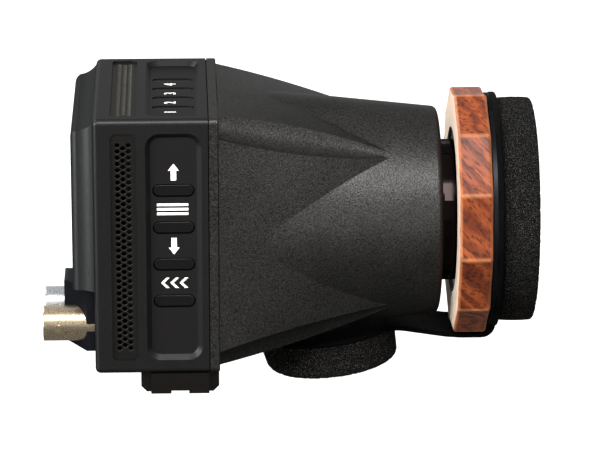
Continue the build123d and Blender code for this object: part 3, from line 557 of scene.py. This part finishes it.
from_corner = add(tree, "ShaderNodeMath", {0: corner.outputs[0], 1: radius.outputs["Value"]},
                  operation="MULTIPLY")
along = add(tree, "ShaderNodeMath", {0: parts.outputs["X"]}, operation="ABSOLUTE")
half_width = (ring_high[0] - ring_low[0]) / 2
from_end = add(tree, "ShaderNodeMath", {0: half_width, 1: along.outputs[0]}, operation="SUBTRACT")
nearest = add(tree, "ShaderNodeMath", {0: from_corner.outputs[0], 1: from_end.outputs[0]},
              operation="MINIMUM")
# Lighter colour near the flats' edges and the ends, in patches of the figure noise.
pale_edges = add(tree, "ShaderNodeMapRange", {"Value": nearest.outputs[0], "From Min": pale_edge_start,
                                        "From Max": pale_edge_reach, "To Min": pale_edge_most, "To Max": 0.0})
patchy_pale_edges = add(tree, "ShaderNodeMath", {0: pale_edges.outputs[0], 1: figure.outputs["Fac"]}, operation="MULTIPLY")
pale_edged = mixed_colour(tree, patchy_pale_edges.outputs[0], grained, "#b8794f")
facing = add(tree, "ShaderNodeSeparateXYZ", {"Vector": add(tree, "ShaderNodeTexCoord").outputs["Normal"]})
front = add(tree, "ShaderNodeMapRange", {"Value": facing.outputs["X"], "From Min": -0.8, "From Max": -0.97})
tree.links.new(pale_edged, shader.inputs["Base Color"])
tree.links.new(front.outputs[0], shader.inputs["Sheen Weight"])
shader.inputs["Sheen Roughness"].default_value = 0.35
shader.inputs["Sheen Tint"].default_value = linear("#fff0dc")
rough = add(tree, "ShaderNodeMapRange", {"Value": pores.outputs["Fac"], "To Min": 0.34, "To Max": 0.6})
tree.links.new(rough.outputs[0], shader.inputs["Roughness"])
bump = add(tree, "ShaderNodeBump", {"Height": pores.outputs["Fac"], "Strength": 0.6, "Distance": pore_depth})
tree.links.new(bump.outputs[0], shader.inputs["Normal"])
finish(wood, "wooden_ring")

# Eyecup plate: a thin disc painted satin black on the end of the barrel, which
# holds the leather pad.
plate_paint = coated("black plate paint", "#131416", "#1b1d20", 0.4, 0.6 * mm, 0.004 * mm, rim=0.25)
finish(plate_paint, "eyecup_plate")

# Leather pad: a round of thick black leather with a hole for the lens, glued to
# the plate. Its edges are rubbed round.
pad_low, pad_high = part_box("leather_pad")
pad_radius = 32.6 * mm
pad_hole = 16.0 * mm
pad_corner = 0.35 * mm
pad_gap = 0.02 * mm
pad_spacing = 0.25 * mm
pad_steps = 240


def skin(name, dark, light, crease, depth, roughness, gloss):
    """Leather: small cells between fine creases, which are darkened with painted shade."""
    material, tree, shader, place = blank_material(name)
    shader.inputs["Roughness"].default_value = roughness
    shader.inputs["Specular IOR Level"].default_value = gloss
    warp = add(tree, "ShaderNodeTexNoise", {"Vector": place, "Scale": 1 / (2 * crease), "Detail": 2.0})
    cells = add(tree, "ShaderNodeTexVoronoi", {"Vector": place, "Scale": 1 / crease},
                feature="DISTANCE_TO_EDGE")
    crease_shade_and_relief = add(tree, "ShaderNodeMapRange", {"Value": cells.outputs["Distance"], "From Max": 0.25})
    # Painted shade: the creases get the dark tone; the same mask also drives the bump.
    tone = add(tree, "ShaderNodeMath", {0: crease_shade_and_relief.outputs[0], 1: warp.outputs["Fac"]}, operation="MULTIPLY")
    tree.links.new(mixed_colour(tree, tone.outputs[0], dark, light), shader.inputs["Base Color"])
    bump = add(tree, "ShaderNodeBump", {"Height": crease_shade_and_relief.outputs[0], "Strength": 0.8, "Distance": depth})
    tree.links.new(bump.outputs[0], shader.inputs["Normal"])
    return material


black_leather = skin("black leather", "#030303", "#0c0b0b", 0.6 * mm, 0.1 * mm, 0.7, 0.02)


def turned_piece(name, outline, steps):
    """A closed ring turned about the optical axis from an outline of (x, radius)."""
    mesh = bmesh.new()
    points = [mesh.verts.new((x, 0, axis_z + radius)) for x, radius in outline]
    edges = [mesh.edges.new((points[place - 1], points[place])) for place in range(len(points))]
    bmesh.ops.spin(mesh, geom=points + edges, cent=(0, 0, axis_z), axis=(1, 0, 0), angle=2 * math.pi,
                   steps=steps, use_merge=True)
    bmesh.ops.remove_doubles(mesh, verts=mesh.verts, dist=merge_distance)
    bmesh.ops.recalc_face_normals(mesh, faces=mesh.faces)
    return add_piece(name, mesh)


def rounded_box(x0, x1, inner, outer, corner, bulge, spacing):
    """The outline of a soft ring: rounded corners, and sides that bulge between them."""
    points = []
    corners = [(x1 - corner, outer - corner, 90, 0), (x1 - corner, inner + corner, 0, -90),
               (x0 + corner, inner + corner, -90, -180), (x0 + corner, outer - corner, -180, -270)]
    for place, (x, radius, start, end) in enumerate(corners):
        arc_steps = max(3, int(corner * math.pi / 2 / spacing))
        for step in range(arc_steps + 1):
            angle = math.radians(start + (end - start) * step / arc_steps)
            points.append(Vector((x + corner * math.cos(angle), radius + corner * math.sin(angle))))
        ahead_x, ahead_radius, ahead_start, _ = corners[(place + 1) % 4]
        first = points[-1]
        last = Vector((ahead_x + corner * math.cos(math.radians(ahead_start)),
                       ahead_radius + corner * math.sin(math.radians(ahead_start))))
        outward = Vector((math.cos(math.radians(end)), math.sin(math.radians(end))))
        run_steps = max(2, int((last - first).length / spacing))
        for step in range(1, run_steps):
            share = step / run_steps
            points.append(first.lerp(last, share) + outward * bulge * 4 * share * (1 - share))
    return [(point.x, point.y) for point in points]


pad = turned_piece("pad", rounded_box(pad_low[0] + pad_gap, pad_high[0], pad_hole, pad_radius, pad_corner,
                                      0, pad_spacing), pad_steps)
pad.data.materials.append(black_leather)
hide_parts("leather_pad")
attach(pad, "eyepiece")

# Strap: one length of black leather. It leaves the bottom of the pad, bends
# under the focusing ring and runs on to the cap, whose top it forms. It bends
# at three places, and it is cut at two straight stretches into three pieces,
# each holding one of the bends.
fold_lines = {joint["name"]: Vector((joint["pos_m"][0], joint["pos_m"][2]))
              for joint in frame["joints"] if joint["name"].endswith("_fold")}
fold_1 = fold_lines["strap_fold"]
fold_2 = fold_lines["tongue_fold"]
fold_3 = fold_lines["cap_fold"]
strap_half = 10 * mm
strap_thickness = 1.2 * mm
cap_radius = 18.8 * mm
cap_tilt = math.radians(6.18)
strap_inset = 0.75 * mm
strap_top_z = 15.5 * mm
strap_top = Vector((pad_high[0] - strap_inset, strap_top_z))
fold_rounds = (3.4 * mm, 24 * mm, 16 * mm)
station_step = 0.35 * mm
strap_hug = 1.45 * mm
strap_rows = 24
tip_merge = 0.02 * mm


def rounded_path(corners, radii, step):
    """Points along straight runs joined by arcs, from the first corner to the last."""
    stations = []
    ends = []
    for place in range(1, len(corners) - 1):
        before = (corners[place - 1] - corners[place]).normalized()
        after = (corners[place + 1] - corners[place]).normalized()
        half_turn = (math.pi - before.angle(after)) / 2
        reach = radii[place - 1] * math.tan(half_turn)
        ends.append((corners[place] + before * reach, corners[place] + after * reach, before, after,
                     half_turn, radii[place - 1]))
    start = corners[0]
    for arc_start, arc_end, before, after, half_turn, radius in ends:
        run = arc_start - start
        count = max(2, int(run.length / step))
        stations += [start + run * share / count for share in range(count)]
        side = 1 if before.cross(after) > 0 else -1
        normal = Vector((before.y, -before.x)) * -side
        centre = arc_start + normal * radius
        count = max(4, int(2 * half_turn * radius / step))
        spoke = arc_start - centre
        for share in range(count):
            turn = Matrix.Rotation(-side * 2 * half_turn * share / count, 2)
            stations.append(centre + turn @ spoke)
        start = arc_end
    run = corners[-1] - start
    count = max(2, int(run.length / step))
    stations += [start + run * share / count for share in range(count + 1)]
    return stations


cap_middle = fold_3 - Vector((math.cos(cap_tilt), math.sin(cap_tilt))) * cap_radius
cap_far = fold_3 - Vector((math.cos(cap_tilt), math.sin(cap_tilt))) * 2 * cap_radius
strap_path = rounded_path([strap_top, Vector((strap_top.x, fold_1.y)), fold_2, fold_3, cap_far], fold_rounds,
                          station_step)


def strap_width(point):
    """Half the leather's width at a point of its path: the strap's, then the cap's disc."""
    if point.x > fold_3.x:
        return strap_half
    out = (point - cap_middle).length
    disc = math.sqrt(max(cap_radius ** 2 - min(out, cap_radius) ** 2, 0))
    return max(disc, strap_half) if point.x > cap_middle.x else disc


def strap_piece(name, path):
    """The leather along a part of the path, its width hugging the round ring above."""
    mesh = bmesh.new()
    bmesh.ops.create_grid(mesh, x_segments=len(path) - 1, y_segments=strap_rows, size=1)
    for vertex in mesh.verts:
        station = round((vertex.co.x + 1) / 2 * (len(path) - 1))
        share = vertex.co.y
        point = path[station]
        width = strap_width(point)
        lift = strap_hug * share * share * min(1, max(0, (point.x - fold_3.x) / (fold_2.x - fold_3.x)))
        vertex.co = Vector((point.x, share * width, point.y + lift))
    bmesh.ops.remove_doubles(mesh, verts=mesh.verts, dist=tip_merge)
    bmesh.ops.recalc_face_normals(mesh, faces=mesh.faces)
    piece = add_piece(name, mesh)
    thick = piece.modifiers.new("thickness", "SOLIDIFY")
    thick.thickness = strap_thickness
    thick.offset = 0
    thick.use_even_offset = True
    bpy.context.view_layer.update()
    solid = bpy.data.meshes.new_from_object(piece.evaluated_get(bpy.context.evaluated_depsgraph_get()))
    piece.modifiers.clear()
    piece.data = solid
    piece.data.materials.append(black_leather)
    return piece


bridge_cut = (fold_1.x + fold_2.x) / 2
tongue_cut = (fold_2.x + fold_3.x) / 2
first_cut, second_cut = (min(range(len(strap_path)), key=lambda place: abs(strap_path[place].x - cut))
                         for cut in (bridge_cut, tongue_cut))
strap_root = strap_piece("strap_root", strap_path[:first_cut + 1])
strap_middle = strap_piece("strap_middle", strap_path[first_cut:second_cut + 1])
strap_end = strap_piece("strap_end", strap_path[second_cut:])
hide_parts("strap_bridge")
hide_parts("strap_tongue")
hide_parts("cap_leather")
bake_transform(strap_root)
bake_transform(strap_middle)
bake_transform(strap_end)


# Eye foam: a thick ring of coarse open-cell foam that meets the face. Its cut
# faces are pitted with pores, and scattered threads carry painted highlights.
pit_size = 0.6 * mm
pit_depth = 0.5 * mm
pit_spread = 1.6
foam_cell = 0.42 * mm
thread_share = (0.02, 0.14)
painted_glint_share = (0.5, 0.72)
painted_glint_size = 0.55
thread_height = 0.25 * mm


def pitted(piece, pore, depth):
    """Sinks each point of a mesh by how near it is to the middle of a foam cell."""
    normals = [vertex.normal.copy() for vertex in piece.data.vertices]
    for vertex, normal in zip(piece.data.vertices, normals):
        spot = vertex.co / pore
        distances = noise.voronoi(spot)[0]
        vertex.co -= normal * depth * max(0.0, 1 - distances[0] * pit_spread)


def open_foam(name, dark, light, pore):
    """Open-cell foam: dark cells between threads, a scattered few painted pale as highlights."""
    material, tree, shader, place = blank_material(name)
    shader.inputs["Roughness"].default_value = 0.8
    shader.inputs["Specular IOR Level"].default_value = 0.04
    cells = add(tree, "ShaderNodeTexVoronoi", {"Vector": place, "Scale": 1 / pore},
                feature="DISTANCE_TO_EDGE")
    threads = add(tree, "ShaderNodeMapRange", {"Value": cells.outputs["Distance"],
                                               "From Min": thread_share[0], "From Max": thread_share[1],
                                               "To Min": 1.0, "To Max": 0.0})
    # Painted highlights: threads where this noise is high get the pale tone.
    painted_glints = add(tree, "ShaderNodeTexNoise", {"Vector": place, "Scale": 1 / (painted_glint_size * pore),
                                              "Detail": 2.0})
    chance = add(tree, "ShaderNodeMapRange", {"Value": painted_glints.outputs["Fac"], "From Min": painted_glint_share[0],
                                              "From Max": painted_glint_share[1]})
    share = add(tree, "ShaderNodeMath", {0: threads.outputs[0], 1: chance.outputs[0]}, operation="MULTIPLY")
    tree.links.new(mixed_colour(tree, share.outputs[0], dark, light), shader.inputs["Base Color"])
    bump = add(tree, "ShaderNodeBump", {"Height": threads.outputs[0], "Strength": 1.0,
                                        "Distance": thread_height})
    tree.links.new(bump.outputs[0], shader.inputs["Normal"])
    return material


foam_low, foam_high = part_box("eye_foam")
foam_radius = 31.0 * mm
foam_hole = 20.2 * mm
foam_corner = 1.0 * mm
foam_bulge = 0.15 * mm
foam_gap = 0.05 * mm
foam_spacing = 0.32 * mm
foam_steps = 620
# The pale tone is a painted highlight on scattered threads, not the foam's own colour.
coarse_foam = open_foam("black open-cell foam", "#090909", "#7d7973", foam_cell)
eye_foam = turned_piece("foam_ring", rounded_box(foam_low[0] + foam_gap, foam_high[0], foam_hole,
                                                 foam_radius, foam_corner, foam_bulge, foam_spacing),
                        foam_steps)
pitted(eye_foam, pit_size, pit_depth)
eye_foam.data.materials.append(coarse_foam)
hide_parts("eye_foam")
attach(eye_foam, "eyepiece")

# Cap foam: a round plug of the same foam under the strap's end. It fills the
# ring's hole when the cap is shut. The side away from the strap slants inwards
# to its foot, where the plug is squeezed.
plug_depth = 9.3 * mm
plug_round = 1.4 * mm
plug_bulge = 1.1 * mm
plug_spacing = 0.3 * mm
plug_steps = 380
face_radius = cap_radius - plug_round
side_height = plug_depth - plug_round
face_steps = int(face_radius / plug_spacing)
arc_steps = 6
side_steps = int(side_height / plug_spacing)
outline = [(face_radius * step / face_steps, -plug_depth) for step in range(face_steps + 1)]
for step in range(1, arc_steps + 1):
    angle = math.radians(90 * step / arc_steps)
    outline.append((face_radius + plug_round * math.sin(angle), -side_height - plug_round * math.cos(angle)))
outline += [(cap_radius, -side_height + side_height * step / side_steps)
            for step in range(1, side_steps + 1)]
outline.append((0.0, 0.0))
plug = bmesh.new()
points = [plug.verts.new((radius, 0, height)) for radius, height in outline]
edges = [plug.edges.new((points[place], points[place + 1])) for place in range(len(points) - 1)]
bmesh.ops.spin(plug, geom=points + edges, cent=(0, 0, 0), axis=(0, 0, 1), angle=2 * math.pi,
               steps=plug_steps, use_merge=True)
bmesh.ops.remove_doubles(plug, verts=plug.verts, dist=merge_distance)
for vertex in plug.verts:
    outward = max(0.0, -vertex.co.x / cap_radius) ** 2
    upper = 1 + vertex.co.z / plug_depth
    vertex.co.x -= outward * plug_bulge * (2 * upper - 1)
bmesh.ops.recalc_face_normals(plug, faces=plug.faces)
plug_place = Matrix.Translation((cap_middle.x, 0, cap_middle.y)) @ Matrix.Rotation(-cap_tilt, 4, "Y")
plug_place = plug_place @ Matrix.Translation((0, 0, -strap_thickness / 2))
bmesh.ops.transform(plug, matrix=plug_place, verts=plug.verts)
cap_foam = add_piece("foam_plug", plug)
pitted(cap_foam, pit_size, pit_depth)
cap_foam.data.materials.append(coarse_foam)
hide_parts("cap_foam")
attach(cap_foam, "cap")
